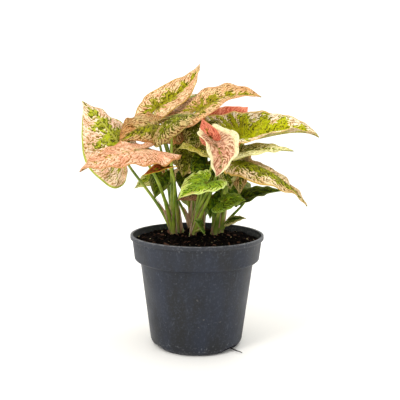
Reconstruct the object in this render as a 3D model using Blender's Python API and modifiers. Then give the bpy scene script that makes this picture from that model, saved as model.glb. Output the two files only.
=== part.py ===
"""Potted syngonium: a turned nursery pot of soil, seven shoots of leaf stalks, and a body for each blade."""

import math
from collections import namedtuple

import bmesh
import bpy
import numpy as np

# Sizes are in millimetres. The pot stands on z = 0 with its axis on the origin; the plant's front is
# towards -Y.
MM = 0.001

# Pot
LIP_HEIGHT = 100.6
LIP_FOOT = 97.0
LIP_RADIUS = 60.0
LIP_INNER_RADIUS = 57.5
BAND_TOP_RADIUS = 58.4
BAND_FOOT_RADIUS = 56.3
BAND_FOOT = 80.0
WALL_TOP = 76.2
WALL_TOP_RADIUS = 51.0
WALL_FOOT_RADIUS = 42.0
CORNER_HEIGHT = 6.0
BASE_RADIUS = 36.5
POT_WALL = 1.4
POT_FLOOR = 1.5
TURN_STEPS = 44

# Drainage notches in the bottom corner, by their bearing from the front, counter-clockwise seen from above
NOTCH_BEARINGS = (-59, 49, 175)
NOTCH_WIDTH = 17.0
NOTCH_HEIGHT = 4.6
NOTCH_INNER_RADIUS = 35.5

# Soil
SOIL_TOP = 99.5
SOIL_EDGE = 94.5
SOIL_CLEARANCE = 0.35

# Shoots: the centre of each crown, where its leaf stalks come together
CROWNS = {
    "shoot_left": (-21, 4),
    "shoot_left_back": (-15, 14),
    "shoot_front": (-4, -3),
    "shoot_middle": (4, 16),
    "shoot_right_front": (15, 1),
    "shoot_right": (21, 13),
    "shoot_back": (-5, 30),
}
CROWN_FOOT = 88.0
CROWN_TOP = 104.0
CROWN_RADIUS = 4.5
CROWN_TOP_RADIUS = 3.8
CROWN_SIDES = 14
HOLE_CLEARANCE = 0.4
STALK_START = 100.0
STALK_SPREAD = 1.6
STALK_RISE = 0.7
STALK_RADII = ((0.0, 2.0), (0.25, 1.5), (1.0, 1.0))
STALK_POINTS = 8
STALK_RESOLUTION = 1

# Blades
BLADE_THICKNESS = 0.7
AROUND = 14
AROUND_SMALL = 10
ACROSS = 3
SMALL_WIDTH = 30
RIPPLES = 3.2

# Half of a flat blade's outline, from the notch at the joint, round the lobe, to the tip. Forward of the
# joint the first number is a share of the midrib, and behind it a share of the lobe. The second is a
# share of half the width.
OUTLINE = (
    (0.0, 0.0),
    (-0.40, 0.14),
    (-0.80, 0.34),
    (-1.0, 0.56),
    (-0.86, 0.82),
    (-0.45, 0.97),
    (0.0, 1.0),
    (0.25, 0.92),
    (0.48, 0.71),
    (0.68, 0.44),
    (0.84, 0.19),
    (0.93, 0.07),
    (1.0, 0.0),
)
# How far behind its end at the margin a vein leaves the midrib, as a share of the midrib
VEIN_SLANT = 0.26

# shoot: the crown that it grows from. colour: its material. joint, tip: where the midrib starts and ends.
# face: the way that the upper side looks. width: across both halves. lobe: how far the lobes reach behind
# the joint. fold: how many degrees the left and right half rise from the midrib. curl: how many degrees
# each bends on its way to the margin. arch: degrees that the midrib bends down to the tip. back: degrees
# that the lobes droop. wave: height of the margin's ripples. hook: above 1, the arch is gathered near the
# tip. splay: how much wider the lobes stand, as a share. sway: sideways bow of the midrib. bow: how far
# the middle of the stalk is bent aside. arrive: degrees between the end of the stalk and the blade's
# normal. seat: room left between that end and the blade's middle surface.
Leaf = namedtuple(
    "Leaf",
    "shoot colour joint tip face width lobe fold curl arch back wave hook splay sway bow arrive seat",
    defaults=((5, 5), (-20, -20), 15, 15, 0, 1, 0, 0, (0, 0, 0), 45, 0.6),
)
LEAVES = {
    # The leaves of the outline
    "leaf_top": Leaf(
        "shoot_left_back", "leaf_marbled", (-34, 34, 216), (2, 56, 256), (-0.45, -0.55, 0.7), 46, 24,
        fold=(56, 24), curl=(-30, -45), arch=20, back=14, wave=1, hook=1.6, splay=0.5, sway=-11,
    ),
    "leaf_crest": Leaf(
        "shoot_middle", "leaf_marbled", (4, 8, 212), (56, 2, 223), (0, -0.35, 0.93), 62, 34,
        fold=(22, 18), curl=(-22, -28), arch=50, back=-28, wave=1, hook=1.3, splay=0.2,
    ),
    "leaf_left": Leaf(
        "shoot_left", "leaf_marbled", (-66, -12, 179), (-101, -6, 218), (0.35, -0.8, 0.45), 68, 29,
        fold=(-6, -22), curl=(-18, -35), arch=18, back=12, wave=1.5, arrive=35, seat=1.15,
    ),
    "leaf_salmon": Leaf(
        "shoot_left", "leaf_salmon", (-49, -55, 178), (-90, -80, 163), (-0.1, -0.5, 0.85), 60, 27,
        fold=(-3, -7), curl=(-20, -15), arch=25, back=18, wave=1.5, seat=0.75,
    ),
    "leaf_right": Leaf(
        "shoot_right", "leaf_marbled", (41, 2, 184), (108, 2, 188), (0.05, -0.42, 0.9), 78, 36,
        fold=(23, 28), curl=(-18, -16), arch=50, back=-18, wave=1.5, hook=3.5, splay=0.35,
        bow=(0, 4, 0), seat=0.2,
    ),
    "leaf_pale": Leaf(
        "shoot_right_front", "leaf_pale", (36, -26, 176), (79, -40, 178), (0.05, -0.28, 0.95), 46, 12,
        fold=(8, 12),
    ),
    "leaf_drooping": Leaf(
        "shoot_right_front", "leaf_olive", (40, -40, 169), (88, -62, 135), (0.4, -0.42, 0.8), 50, 13,
        fold=(-5, 5), curl=(-35, -40), arch=42, back=10, wave=1,
    ),
    # Between them
    "leaf_olive": Leaf(
        "shoot_left_back", "leaf_olive", (-36, -8, 197), (-67, -23, 180), (-0.3, -0.6, 0.75), 48, 18,
        fold=(-9, 6), curl=(-30, -30), arch=70, back=5, wave=1, hook=1.5,
    ),
    "leaf_folded": Leaf(
        "shoot_left", "leaf_green", (-22, -40, 204), (1, -50, 206), (0, -0.5, 0.9), 34, 24,
        fold=(-5, -40), curl=(-30, -40), arch=20, back=5, splay=0.6, bow=(-3, 3, 0), arrive=20, seat=1.3,
    ),
    "leaf_young_red": Leaf(
        "shoot_left", "leaf_red", (-17, -54, 171), (-38, -76, 166), (0, -0.5, 0.85), 28, 9,
        fold=(35, 40), curl=(50, 50), seat=0.1,
    ),
    "leaf_cupped": Leaf(
        "shoot_front", "leaf_salmon", (14, -56, 182), (18, -66, 159), (-0.2, -0.9, 0.35), 44, 21,
        fold=(22, 45), curl=(35, 30), arch=40, back=-10, wave=1, bow=(4, 0, -8), arrive=10,
    ),
    "leaf_coral": Leaf(
        "shoot_middle", "leaf_red", (23, 42, 191), (48, 48, 215), (-0.1, -0.9, 0.4), 50, 22,
        fold=(12, 10), curl=(-20, -30), arch=20, back=10,
    ),
    "leaf_yellow": Leaf(
        "shoot_front", "leaf_pale", (3, -14, 177), (-16, -32, 179), (0, -0.5, 0.85), 30, 8,
    ),
    "leaf_mottled": Leaf(
        "shoot_middle", "leaf_olive", (-2, 7, 177), (-16, 2, 196), (-0.1, -0.9, 0.3), 38, 14,
    ),
    "leaf_hanging": Leaf(
        "shoot_right", "leaf_olive", (35, -4, 169), (37, -14, 137), (0.2, -0.9, 0.35), 28, 7,
        curl=(-30, -30), arch=20, back=10, seat=0.4,
    ),
    # Low down
    "leaf_low_bright": Leaf(
        "shoot_front", "leaf_green", (4, -54, 149), (-15, -70, 146), (-0.1, -0.5, 0.85), 38, 20,
        fold=(20, 14), curl=(-12, -22), arch=28, back=-26, bow=(0, 6, 8),
    ),
    "leaf_low_dark": Leaf(
        "shoot_right", "leaf_dark", (44, -2, 133), (75, -6, 141), (0, -0.45, 0.88), 34, 10,
        fold=(8, 28), curl=(-20, -10),
    ),
    "leaf_low_right": Leaf(
        "shoot_right_front", "leaf_green", (23, -36, 135), (40, -44, 137), (0, -0.5, 0.85), 28, 10,
    ),
    "leaf_tiny_right": Leaf(
        "shoot_right_front", "leaf_dark", (29, -8, 114), (43, -14, 117), (0, -0.4, 0.9), 16, 5,
    ),
    "leaf_tiny_front": Leaf(
        "shoot_front", "leaf_dark", (5, -22, 111), (-3, -30, 118), (0, -0.7, 0.7), 14, 4,
    ),
    "leaf_small_left": Leaf(
        "shoot_left_back", "leaf_pale", (-42, 22, 150), (-59, 24, 138), (-0.2, -0.6, 0.75), 20, 8,
    ),
    "leaf_small_front": Leaf(
        "shoot_left_back", "leaf_dark", (-27, 0, 150), (-40, -10, 142), (-0.2, -0.6, 0.75), 18, 5,
    ),
    "leaf_small_pink": Leaf(
        "shoot_front", "leaf_salmon", (-6, 7, 135), (-18, -4, 131), (-0.1, -0.6, 0.8), 20, 7,
    ),
    "leaf_inner_left": Leaf(
        "shoot_middle", "leaf_dark", (-8, 6, 153), (-12, -5, 136), (-0.2, -0.85, 0.45), 24, 6, arch=30,
    ),
    "leaf_inner_right": Leaf(
        "shoot_right", "leaf_dark", (28, 22, 147), (40, 25, 124), (0.2, -0.8, 0.5), 34, 11, arch=25,
    ),
    # The far side
    "leaf_back_top": Leaf(
        "shoot_middle", "leaf_green", (-2, 56, 219), (16, 98, 227), (0.1, 0.2, 0.97), 48, 14,
        fold=(10, 10), curl=(-25, -25), arch=40, wave=1, bow=(-2, -8, 0), arrive=0, seat=1.1,
    ),
    "leaf_back_high": Leaf(
        "shoot_back", "leaf_marbled", (-9, 70, 200), (-22, 118, 203), (0, 0.3, 0.95), 62, 22,
        fold=(8, 8), curl=(-25, -25), arch=45, wave=1, bow=(3, 0, 0),
    ),
    "leaf_back_left": Leaf(
        "shoot_back", "leaf_green", (-46, 50, 172), (-91, 76, 173), (-0.25, 0.35, 0.9), 60, 22,
        fold=(8, 8), curl=(-25, -25), arch=40, wave=1,
    ),
    "leaf_back_mid": Leaf(
        "shoot_left_back", "leaf_marbled", (-35, 54, 186), (-65, 98, 180), (-0.3, 0.4, 0.85), 54, 20,
        fold=(8, 8), curl=(-25, -25), arch=35, wave=1,
    ),
    "leaf_back_right": Leaf(
        "shoot_right", "leaf_marbled", (42, 68, 186), (85, 84, 192), (0.15, 0.35, 0.9), 58, 22,
        fold=(8, 8), curl=(-25, -25), arch=35, wave=1, bow=(4, -8, 4),
    ),
    "leaf_back_low_right": Leaf(
        "shoot_back", "leaf_green", (18, 68, 156), (32, 106, 130), (0.1, 0.5, 0.85), 52, 18,
        fold=(8, 8), curl=(-25, -25), arch=35, wave=1,
    ),
    "leaf_back_low_left": Leaf(
        "shoot_back", "leaf_salmon", (-16, 62, 152), (-33, 98, 130), (-0.2, 0.5, 0.8), 48, 18,
        fold=(8, 8), curl=(-25, -25), arch=35, wave=1,
    ),
    "leaf_back_small": Leaf(
        "shoot_right", "leaf_dark", (37, 52, 147), (51, 74, 125), (0.5, 0.2, 0.8), 34, 12,
        fold=(8, 8), curl=(-25, -25), arch=30, wave=1,
    ),
    "leaf_back_base": Leaf(
        "shoot_back", "leaf_dark", (0, 60, 125), (7, 86, 98), (0.05, 0.55, 0.8), 36, 9,
        fold=(8, 8), curl=(-25, -25), arch=35, wave=1,
    ),
}

# Base colour in linear light and roughness of each material
FINISHES = {
    "pot": ((0.055, 0.06, 0.07), 0.55),
    "soil": ((0.022, 0.014, 0.009), 0.95),
    "stalk": ((0.2, 0.32, 0.07), 0.5),
    "leaf_marbled": ((0.5, 0.42, 0.2), 0.45),
    "leaf_salmon": ((0.72, 0.28, 0.2), 0.45),
    "leaf_red": ((0.62, 0.14, 0.08), 0.45),
    "leaf_pale": ((0.62, 0.62, 0.26), 0.45),
    "leaf_olive": ((0.3, 0.27, 0.11), 0.45),
    "leaf_green": ((0.22, 0.36, 0.06), 0.45),
    "leaf_dark": ((0.07, 0.13, 0.03), 0.45),
}


def clear_scene():
    for item in list(bpy.data.objects):
        bpy.data.objects.remove(item, do_unlink=True)


def make_collection(name):
    collection = bpy.data.collections.new(name)
    bpy.context.scene.collection.children.link(collection)
    return collection


def make_material(name):
    """A Principled material with the colour and roughness of the finish of this name."""
    colour, roughness = FINISHES[name]
    material = bpy.data.materials.new(name)
    material.use_nodes = True
    shader = material.node_tree.nodes["Principled BSDF"]
    shader.inputs["Base Color"].default_value = (*colour, 1.0)
    shader.inputs["Roughness"].default_value = roughness
    material.diffuse_color = (*colour, 1.0)
    return material


def mesh_object(name, points, edges, faces, collection):
    """An object of the points, which are in millimetres, and the edges or faces between them."""
    mesh = bpy.data.meshes.new(name)
    mesh.from_pydata((np.asarray(points) * MM).tolist(), edges, faces)
    item = bpy.data.objects.new(name, mesh)
    collection.objects.link(item)
    return item


def move_to(item, collection):
    for holder in list(item.users_collection):
        holder.objects.unlink(item)
    collection.objects.link(item)


def evaluated_mesh(item):
    """A new mesh of the item as its modifiers or its bevel make it."""
    graph = bpy.context.evaluated_depsgraph_get()
    return bpy.data.meshes.new_from_object(item.evaluated_get(graph))


def apply_modifiers(item):
    mesh = evaluated_mesh(item)
    item.modifiers.clear()
    item.data = mesh


def weld(mesh):
    """Joins points that are in one place and drops what this leaves without an area."""
    shape = bmesh.new()
    shape.from_mesh(mesh)
    bmesh.ops.remove_doubles(shape, verts=shape.verts, dist=1e-6)
    bmesh.ops.dissolve_degenerate(shape, edges=shape.edges, dist=1e-6)
    shape.to_mesh(mesh)
    shape.free()


def turned(name, profile, collection):
    """A solid turned about the Z axis from (radius, height) points that start and end on the axis."""
    points = [(radius, 0, height) for radius, height in profile]
    edges = [(i, i + 1) for i in range(len(points) - 1)]
    item = mesh_object(name, points, edges, [], collection)
    screw = item.modifiers.new("Turn", "SCREW")
    screw.steps = TURN_STEPS
    screw.render_steps = TURN_STEPS
    screw.use_merge_vertices = True
    screw.merge_threshold = 1e-5
    apply_modifiers(item)
    item.data.shade_smooth()
    item.data.set_sharp_from_angle(angle=math.radians(35))
    return item


def cut(item, cutter):
    """Takes the cutter, which stays hidden, out of the item."""
    cutter.hide_render = True
    cutter.display_type = "WIRE"
    modifier = item.modifiers.new("Cut " + cutter.name, "BOOLEAN")
    modifier.operation = "DIFFERENCE"
    modifier.solver = "EXACT"
    modifier.object = cutter


def add_pot(collection, cutters):
    """The pot's wall, base, shoulder, band and lip, and the drainage notches in its bottom corner."""
    profile = (
        (0.0, POT_FLOOR),
        (BASE_RADIUS - 2.0, POT_FLOOR),
        (BASE_RADIUS + 2.5, POT_FLOOR + 2.5),
        (WALL_FOOT_RADIUS - POT_WALL, CORNER_HEIGHT + 1.0),
        (WALL_TOP_RADIUS - POT_WALL, WALL_TOP + 0.8),
        (BAND_FOOT_RADIUS - 1.6, BAND_FOOT + 0.5),
        (BAND_TOP_RADIUS - 1.8, LIP_FOOT - 0.5),
        (LIP_INNER_RADIUS, LIP_HEIGHT - 2.6),
        (LIP_INNER_RADIUS, LIP_HEIGHT - 0.6),
        (LIP_INNER_RADIUS + 0.5, LIP_HEIGHT),
        (LIP_RADIUS - 0.5, LIP_HEIGHT),
        (LIP_RADIUS, LIP_HEIGHT - 0.6),
        (LIP_RADIUS, LIP_FOOT + 0.2),
        (LIP_RADIUS - 0.8, LIP_FOOT - 0.4),
        (BAND_TOP_RADIUS, LIP_FOOT - 0.6),
        (BAND_FOOT_RADIUS, BAND_FOOT + 0.5),
        (BAND_FOOT_RADIUS - 0.3, BAND_FOOT - 1.0),
        (BAND_FOOT_RADIUS - 1.8, BAND_FOOT - 2.2),
        (WALL_TOP_RADIUS + 1.0, WALL_TOP + 1.1),
        (WALL_TOP_RADIUS, WALL_TOP),
        (WALL_FOOT_RADIUS, CORNER_HEIGHT),
        (WALL_FOOT_RADIUS - 1.0, CORNER_HEIGHT / 2),
        (WALL_FOOT_RADIUS - 3.0, 1.0),
        (BASE_RADIUS, 0.0),
        (0.0, 0.0),
    )
    pot = turned("pot", profile, collection)
    for number, bearing in enumerate(NOTCH_BEARINGS, 1):
        turn = math.radians(bearing)
        reach = WALL_FOOT_RADIUS + 5.0 - NOTCH_INNER_RADIUS
        middle = NOTCH_INNER_RADIUS + reach / 2
        bpy.ops.mesh.primitive_cube_add(size=1.0)
        cutter = bpy.context.object
        cutter.name = f"notch_{number}"
        cutter.scale = (NOTCH_WIDTH * MM, reach * MM, 2 * NOTCH_HEIGHT * MM)
        cutter.location = (middle * math.sin(turn) * MM, -middle * math.cos(turn) * MM, 0.0)
        cutter.rotation_euler.z = turn
        move_to(cutter, cutters)
        cut(pot, cutter)
    return pot


def add_soil(collection, cutters):
    """The soil that fills the pot, slightly domed, with a plain hole for each crown."""
    gap = SOIL_CLEARANCE
    profile = (
        (0.0, SOIL_TOP),
        (20.0, SOIL_TOP - 0.5),
        (40.0, SOIL_TOP - 3.0),
        (52.0, SOIL_EDGE + 0.5),
        (BAND_TOP_RADIUS - 2.4, SOIL_EDGE),
        (BAND_FOOT_RADIUS - 1.6 - gap, BAND_FOOT + 0.8),
        (WALL_TOP_RADIUS - POT_WALL - gap, WALL_TOP + 1.2),
        (WALL_FOOT_RADIUS - POT_WALL - gap, CORNER_HEIGHT + 1.2),
        (BASE_RADIUS + 2.0, POT_FLOOR + 2.9),
        (BASE_RADIUS - 2.2, POT_FLOOR + gap),
        (0.0, POT_FLOOR + gap),
    )
    soil = turned("soil", profile, collection)
    floor = CROWN_FOOT - HOLE_CLEARANCE
    top = SOIL_TOP + 10.0
    for shoot, (x, y) in CROWNS.items():
        bpy.ops.mesh.primitive_cylinder_add(
            vertices=CROWN_SIDES,
            radius=(CROWN_RADIUS + HOLE_CLEARANCE) * MM,
            depth=(top - floor) * MM,
            location=(x * MM, y * MM, (top + floor) / 2 * MM),
        )
        cutter = bpy.context.object
        cutter.name = shoot.replace("shoot", "hole")
        move_to(cutter, cutters)
        cut(soil, cutter)
    return soil


def unit(vector):
    return np.asarray(vector, float) / np.linalg.norm(vector)


def smooth_curve(points, samples):
    """Points spread evenly along a smooth curve through the given ones."""
    given = np.asarray(points, float)
    ends = np.vstack([2 * given[0] - given[1], given, 2 * given[-1] - given[-2]])
    t = np.linspace(0, 1, 16, endpoint=False)[:, None]
    fine = []
    for i in range(len(given) - 1):
        a, b, c, d = ends[i : i + 4]
        square = 2 * a - 5 * b + 4 * c - d
        cube = 3 * b - a - 3 * c + d
        fine.append(b + 0.5 * ((c - a) * t + square * t**2 + cube * t**3))
    fine = np.vstack([*fine, given[-1:]])
    run = np.concatenate([[0], np.cumsum(np.linalg.norm(np.diff(fine, axis=0), axis=1))])
    at = np.linspace(0, run[-1], samples)
    return np.stack([np.interp(at, run, fine[:, k]) for k in range(given.shape[1])], axis=1)


def walk(angles, step):
    """Where a line from the origin gets to that takes a step at the middle of each two angles."""
    middle = (angles[1:] + angles[:-1]) / 2
    moves = np.stack([np.cos(middle), np.sin(middle)], axis=1) * step
    return np.vstack([[0, 0], np.cumsum(moves, axis=0)])


# A midrib in side view. Each point has its distance from the joint, negative in the lobes, its place in
# the plane of the directions ahead and up, and the angle of its tangent there. length runs from the joint
# to the tip.
Midrib = namedtuple("Midrib", "distance along height angle length ahead up")


def make_midrib(leaf):
    chord = np.subtract(leaf.tip, leaf.joint)
    ahead = unit(chord)
    up = unit(leaf.face - np.dot(leaf.face, ahead) * ahead)
    share = np.linspace(0, 1, 61)
    front_angle = -math.radians(leaf.arch) * share**leaf.hook
    front = walk(front_angle, 1 / 60)
    length = np.linalg.norm(chord) / np.linalg.norm(front[-1])
    share_back = np.linspace(0, 1, 31)
    back_angle = math.radians(leaf.back) * share_back
    back = -walk(back_angle, leaf.lobe / 30)
    tilt = -math.atan2(front[-1, 1], front[-1, 0])
    path = np.vstack([back[:0:-1], front * length])
    along = path[:, 0] * math.cos(tilt) - path[:, 1] * math.sin(tilt)
    height = path[:, 0] * math.sin(tilt) + path[:, 1] * math.cos(tilt)
    distance = np.concatenate([-leaf.lobe * share_back[:0:-1], length * share])
    angle = np.concatenate([back_angle[:0:-1], front_angle]) + tilt
    return Midrib(distance, along, height, angle, length, ahead, up)


def half_blade(leaf, rib, side, around, across, phase):
    """Points over the left (side 0) or right half from the joint, in rows along the veins to the margin."""
    outline = smooth_curve(OUTLINE, around)
    half_width = leaf.width / 2
    forward = outline[:, 0] > 0
    end_x = outline[:, 0] * np.where(forward, rib.length, leaf.lobe)
    spread = leaf.splay * np.clip(-outline[:, 0], 0, 1) * np.clip(2 * outline[:, 1], 0, 1)
    end_y = (outline[:, 1] + spread) * half_width
    share = np.clip(outline[:, 0], 0, 1)
    start_x = rib.length * np.clip(share - VEIN_SLANT * outline[:, 1] * np.clip(6 * share, 0, 1), 0, 1)
    start_x[: np.argmax(outline[:, 1])] = 0
    start_x[-1] = rib.length
    start_x = np.maximum.accumulate(start_x)[:, None]
    t = np.linspace(0, 1, across)[None, :]
    flat_x = start_x + (end_x[:, None] - start_x) * t
    flat_y = end_y[:, None] * t

    # Across the midrib the section is an arc that leaves it at the fold angle
    fold = math.radians(leaf.fold[side])
    bend = math.radians(leaf.curl[side]) / half_width
    if bend:
        out = (np.sin(fold + bend * flat_y) - math.sin(fold)) / bend
        rise = (math.cos(fold) - np.cos(fold + bend * flat_y)) / bend
    else:
        out = flat_y * math.cos(fold)
        rise = flat_y * math.sin(fold)
    run = np.linspace(0, 1, around)[:, None]
    ripple = np.sin(2 * math.pi * RIPPLES * run + phase + 2.4 * side)
    rise = rise + leaf.wave * t**2 * ripple * np.sqrt(np.sin(math.pi * run).clip(0))
    share_x = np.clip(flat_x / rib.length, 0, 1)
    out = (out if side == 0 else -out) + leaf.sway * 4 * share_x * (1 - share_x)

    angle = np.interp(flat_x, rib.distance, rib.angle)
    along = np.interp(flat_x, rib.distance, rib.along) - rise * np.sin(angle)
    height = np.interp(flat_x, rib.distance, rib.height) + rise * np.cos(angle)
    sideways = np.cross(rib.up, rib.ahead)
    return along[..., None] * rib.ahead + height[..., None] * rib.up + out[..., None] * sideways


def add_blade(name, leaf, phase, collection):
    """A thin arrowhead blade: two halves of triangles that meet along the midrib, given their thickness."""
    around = AROUND_SMALL if leaf.width <= SMALL_WIDTH else AROUND
    rib = make_midrib(leaf)
    points = []
    faces = []
    for side in (0, 1):
        first = len(points)
        points.extend(half_blade(leaf, rib, side, around, ACROSS, phase).reshape(-1, 3))
        for i in range(around - 1):
            for j in range(ACROSS - 1):
                a = first + i * ACROSS + j
                b = a + ACROSS
                pair = [(a, b, b + 1), (a, b + 1, a + 1)]
                faces.extend(pair if side == 1 else [face[::-1] for face in pair])
    item = mesh_object(name, points, [], faces, collection)
    item.location = np.array(leaf.joint) * MM
    weld(item.data)
    item.data.shade_smooth()
    skin = item.modifiers.new("Thickness", "SOLIDIFY")
    skin.thickness = BLADE_THICKNESS * MM
    skin.offset = 0.0
    return item


def stalk_path(leaf):
    """The stalk's centre line, from inside the crown to just under the blade."""
    rib = make_midrib(leaf)
    angle = np.interp(0, rib.distance, rib.angle)
    tangent = math.cos(angle) * rib.ahead + math.sin(angle) * rib.up
    normal = math.cos(angle) * rib.up - math.sin(angle) * rib.ahead
    arrive = math.radians(leaf.arrive)
    last_way = math.cos(arrive) * normal + math.sin(arrive) * tangent
    slant = max(arrive, math.radians(-min(leaf.fold)))
    joint = np.array(leaf.joint, float)
    end = joint - last_way * (leaf.seat + math.sin(slant)) / math.cos(slant)
    crown = np.array([*CROWNS[leaf.shoot], STALK_START])
    outward = (joint - crown) * (1, 1, 0)
    start = crown + unit(outward) * STALK_SPREAD
    span = np.linalg.norm(end - start)
    first = start + unit(unit(end - start) + (0, 0, STALK_RISE)) * span * 0.4 + leaf.bow
    second = end - last_way * span * 0.3 + leaf.bow
    t = np.linspace(0, 1, STALK_POINTS)[:, None]
    near = (1 - t) ** 3 * start + 3 * (1 - t) ** 2 * t * first
    return near + 3 * (1 - t) * t**2 * second + t**3 * end


def add_stalk(name, leaf, collection):
    """A tapered tube along the stalk's centre line, as a closed mesh."""
    path = stalk_path(leaf)
    shares = np.linspace(0, 1, len(path))
    curve = bpy.data.curves.new(name, "CURVE")
    curve.dimensions = "3D"
    curve.bevel_depth = MM
    curve.bevel_resolution = STALK_RESOLUTION
    curve.use_fill_caps = True
    spline = curve.splines.new("POLY")
    spline.points.add(len(path) - 1)
    for point, place, share in zip(spline.points, path, shares):
        point.co = (*(place * MM), 1)
        point.radius = np.interp(share, *zip(*STALK_RADII))
    guide = bpy.data.objects.new(name, curve)
    collection.objects.link(guide)
    stalk = bpy.data.objects.new(name, evaluated_mesh(guide))
    weld(stalk.data)
    stalk.matrix_world = guide.matrix_world
    bpy.data.objects.remove(guide, do_unlink=True)
    collection.objects.link(stalk)


def add_shoot(name, collection):
    """A crown and the stalks that grow from it, joined into one body."""
    x, y = CROWNS[name]
    bpy.ops.mesh.primitive_cone_add(
        vertices=CROWN_SIDES,
        radius1=CROWN_RADIUS * MM,
        radius2=CROWN_TOP_RADIUS * MM,
        depth=(CROWN_TOP - CROWN_FOOT) * MM,
        location=(x * MM, y * MM, (CROWN_TOP + CROWN_FOOT) / 2 * MM),
    )
    shoot = bpy.context.object
    shoot.name = name
    move_to(shoot, collection)
    stalks = bpy.data.collections.new(name + "_stalks")
    bpy.context.scene.collection.children.link(stalks)
    for leaf_name, leaf in LEAVES.items():
        if leaf.shoot == name:
            add_stalk(leaf_name.replace("leaf", "stalk"), leaf, stalks)
    union = shoot.modifiers.new("Join", "BOOLEAN")
    union.operation = "UNION"
    union.solver = "EXACT"
    union.operand_type = "COLLECTION"
    union.collection = stalks
    apply_modifiers(shoot)
    for stalk in list(stalks.objects):
        bpy.data.objects.remove(stalk, do_unlink=True)
    bpy.data.collections.remove(stalks)
    shoot.data.shade_smooth()
    shoot.data.set_sharp_from_angle(angle=math.radians(50))
    return shoot


def main():
    clear_scene()
    plant = make_collection("potted_syngonium")
    cutters = make_collection("cutters")
    materials = {name: make_material(name) for name in FINISHES}
    finishes = {add_pot(plant, cutters): "pot", add_soil(plant, cutters): "soil"}
    for name in CROWNS:
        finishes[add_shoot(name, plant)] = "stalk"
    for number, (name, leaf) in enumerate(LEAVES.items()):
        finishes[add_blade(name, leaf, 2.1 * number, plant)] = leaf.colour
    for item, finish in finishes.items():
        item.data.materials.clear()
        item.data.materials.append(materials[finish])
    cutters.hide_render = True


main()
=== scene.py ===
from collections import namedtuple
from functools import partial
from math import atan2, cos, dist, pi, radians, sin, sqrt

import bmesh
import bpy
import numpy as np
from mathutils import Euler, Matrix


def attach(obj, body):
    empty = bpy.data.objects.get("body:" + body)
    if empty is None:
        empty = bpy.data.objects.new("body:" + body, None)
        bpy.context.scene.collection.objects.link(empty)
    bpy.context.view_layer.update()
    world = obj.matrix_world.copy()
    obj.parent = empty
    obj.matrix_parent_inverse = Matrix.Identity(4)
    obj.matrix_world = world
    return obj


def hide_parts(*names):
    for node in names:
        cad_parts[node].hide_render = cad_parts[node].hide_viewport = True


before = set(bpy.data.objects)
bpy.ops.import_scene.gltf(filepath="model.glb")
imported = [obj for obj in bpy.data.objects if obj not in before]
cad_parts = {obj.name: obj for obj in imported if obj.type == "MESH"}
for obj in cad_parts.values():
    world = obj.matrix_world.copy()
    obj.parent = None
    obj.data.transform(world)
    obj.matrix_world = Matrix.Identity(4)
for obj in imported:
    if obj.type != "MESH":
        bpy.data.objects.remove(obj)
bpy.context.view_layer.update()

# Lengths are in millimetres, but materials, the floor and the lamps use the frame's metres.
MM = 0.001
BODY = "root"

# Shoots: the centre of each crown, where its leaf stalks come together
CROWNS = {
    "left": (-21, 4),
    "left_back": (-15, 14),
    "front": (-4, -3),
    "middle": (4, 16),
    "right_front": (15, 1),
    "right": (21, 13),
    "back": (-5, 30),
}
CROWN_HEIGHTS = (88, 94, 99, 102.5, 104)
CROWN_RADII = (3.6, 3.8, 3.6, 2.6, 0.8)
STALK_START = 100.0
STALK_SPREAD = 1.6
STALK_RISE = 0.7
STALK_SHARES = (0, 0.1, 0.3, 0.94, 1.0)
STALK_RADII = (2.1, 2.1, 1.6, 1.05, 1.25)
SHEATH_STEPS = 9
SHEATH_GAP = 0.35
SHEATH_THICKNESS = 0.35
SHEATHED_LENGTH = 45

# Pot: radius and height along its section, from the floor's middle up the inside and down the outside
POT_PROFILE = (
    (0.0, 1.5), (20.0, 1.5), (34.5, 1.5), (37.2, 2.4), (39.0, 4.0), (40.0, 5.4), (40.6, 7.0),
    (45.2, 42.0), (49.4, 75.6), (50.0, 77.4), (51.2, 78.6), (54.4, 80.0), (54.7, 80.6), (56.4, 96.2),
    (57.2, 97.4), (57.5, 98.2), (57.5, 99.8), (57.6, 100.2), (57.9, 100.5), (58.2, 100.6), (59.3, 100.6),
    (59.7, 100.5), (59.95, 100.2), (60.0, 99.8), (60.0, 97.8), (59.9, 97.3), (59.6, 96.9), (59.1, 96.6),
    (58.5, 96.5), (58.3, 96.2), (58.1, 95.4), (56.4, 81.2), (56.3, 80.2), (56.2, 79.4), (55.8, 78.7),
    (55.2, 78.2), (54.4, 77.9), (52.2, 77.4), (51.5, 77.1), (51.1, 76.6), (51.0, 76.0), (49.9, 68.0),
    (48.0, 53.0), (46.0, 38.0), (44.0, 22.0), (42.0, 6.4), (41.8, 5.2), (41.3, 3.9), (40.5, 2.6), (39.4, 1.5),
    (38.2, 0.6), (37.0, 0.1), (36.3, 0.0), (34.0, 0.0), (33.6, 0.3), (20.0, 0.3), (0.0, 0.3),
)
POT_SIDES = 192
NOTCH_BEARINGS = (-59, 49, 175)
NOTCH_RADIUS = 41.5
NOTCH_SIZE = (17.0, 12.0, 9.2)

# Soil: how high its smooth top lies at some distances from the axis, and its section below that
SOIL_TOP = ((0, 99.5), (20, 99.0), (40, 96.5), (52, 95.0), (56, 94.5))
SOIL_TOP_EDGE = 52
SOIL_SIDE = (
    (53.5, 94.8), (55, 94.6), (55.9, 94.0), (54.35, 81), (49.2, 77.4), (40.2, 7.2), (38.5, 4.4), (34.3, 1.9),
    (0, 1.9),
)
SOIL_SIDES = 260
ROUGH_ABOVE = 93.5
STREWN_RADIUS = 54.5
STREWN_SINK = 0.35

# A root that has come out of a drainage notch: radius, sideways bend and height along it
ROOT_ROUTE = ((30, 0, 3.4), (36, 0, 2.6), (41, 1, 1.6), (45, 0, 1.3), (48, -1.5, 1.9), (51, -1, 1.2))

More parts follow.
